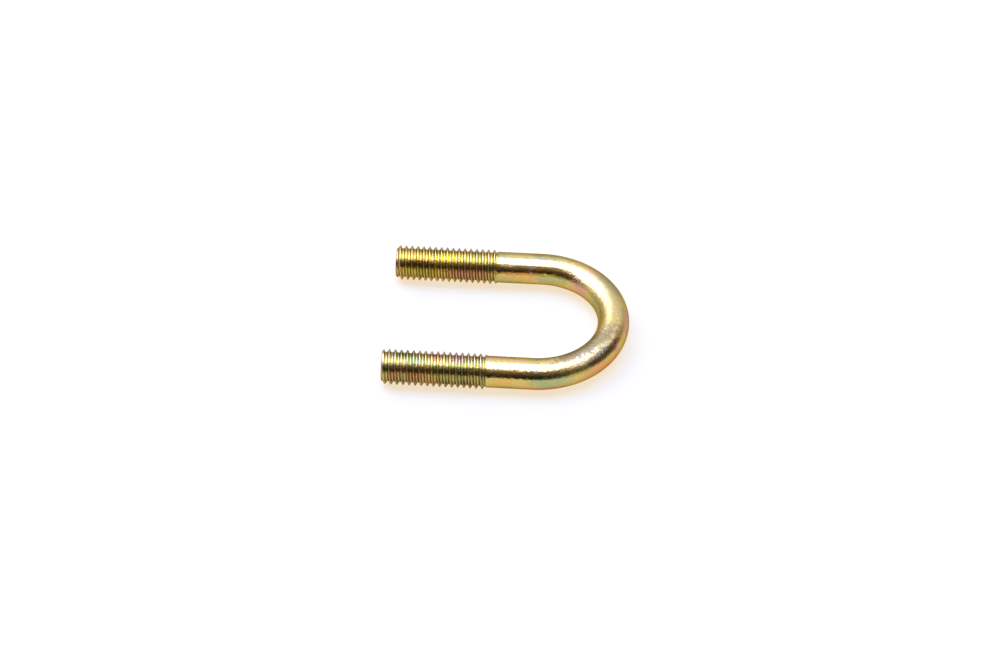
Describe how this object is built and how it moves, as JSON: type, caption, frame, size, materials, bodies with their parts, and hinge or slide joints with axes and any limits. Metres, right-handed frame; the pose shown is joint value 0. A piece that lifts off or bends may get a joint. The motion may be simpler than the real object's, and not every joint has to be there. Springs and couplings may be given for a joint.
{
  "type": "u-bolt",
  "caption": "Round-bend u-bolt: a rod bent to a half circle with a plain shank and a threaded leg on each side, for holding a pipe against a plate.",
  "frame": {"origin": "axis of the held pipe, level with the centre of the rod", "axes": "+X towards the top of the bow, legs run to -X, +Y across the legs, +Z along the held pipe; the part lies flat"},
  "size_m": [0.04, 0.0312, 0.006],
  "materials": {
    "plated_rod": "steel rod, bright zinc plating with yellow chromate, faintly iridescent",
    "plated_thread": "rolled thread, zinc plating with yellow chromate, crests worn paler",
    "plated_end": "cropped rod end, zinc plating with yellow chromate, duller"
  },
  "bodies": {
    "root": {"bow": "plated_rod", "shank_left": "plated_rod", "shank_right": "plated_rod", "thread_left": "plated_thread", "thread_right": "plated_thread", "point_left": "plated_end", "point_right": "plated_end"}
  },
  "joints": []
}
